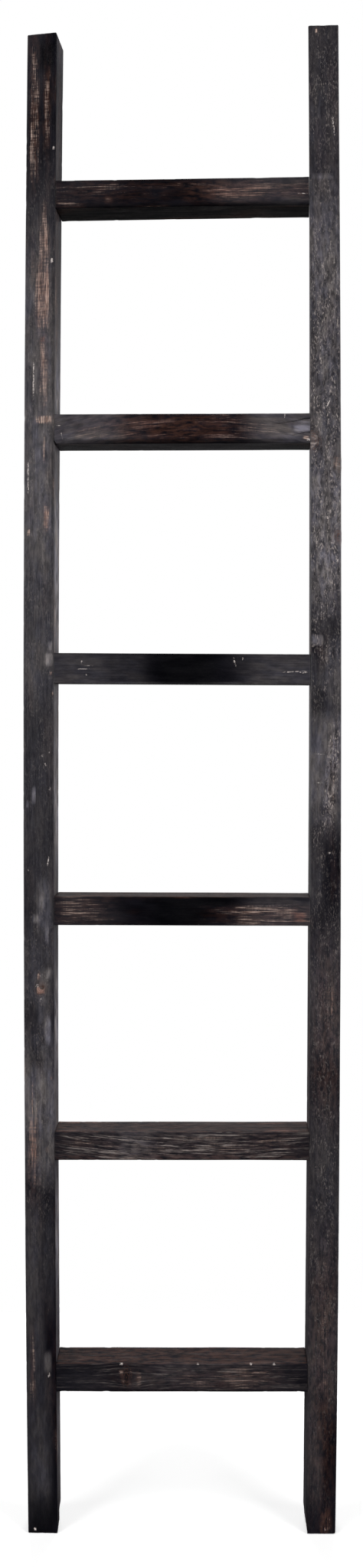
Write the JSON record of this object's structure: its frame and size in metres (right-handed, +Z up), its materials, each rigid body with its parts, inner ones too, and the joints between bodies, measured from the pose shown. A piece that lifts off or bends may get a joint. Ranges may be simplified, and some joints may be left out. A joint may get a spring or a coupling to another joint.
{
  "type": "blanket ladder",
  "caption": "Narrow leaning ladder for hanging blankets: square wooden rails with square rungs butted and screwed between them, in worn black paint.",
  "frame": {"origin": "on the floor, midway between the two rails and midway through their depth", "axes": "+X to the viewer's right along the rungs, +Y from the front to the rear (wall) side, +Z up along the rails; the ladder is drawn standing upright"},
  "size_m": [0.405, 0.038, 1.939],
  "materials": {
    "rail_paint": "worn satin black paint, rubbed through to brown wood",
    "rung_paint": "worn satin black paint, rubbed through to brown wood",
    "screw_steel": "dull zinc-plated steel"
  },
  "bodies": {
    "root": {"left_rail": "rail_paint", "right_rail": "rail_paint", "rung_1": "rung_paint", "rung_2": "rung_paint", "rung_3": "rung_paint", "rung_4": "rung_paint", "rung_5": "rung_paint", "rung_6": "rung_paint", "rung_1_left_screw": "screw_steel", "rung_1_right_screw": "screw_steel", "rung_2_left_screw": "screw_steel", "rung_2_right_screw": "screw_steel", "rung_3_left_screw": "screw_steel", "rung_3_right_screw": "screw_steel", "rung_4_left_screw": "screw_steel", "rung_4_right_screw": "screw_steel", "rung_5_left_screw": "screw_steel", "rung_5_right_screw": "screw_steel", "rung_6_left_screw": "screw_steel", "rung_6_right_screw": "screw_steel"}
  },
  "joints": []
}
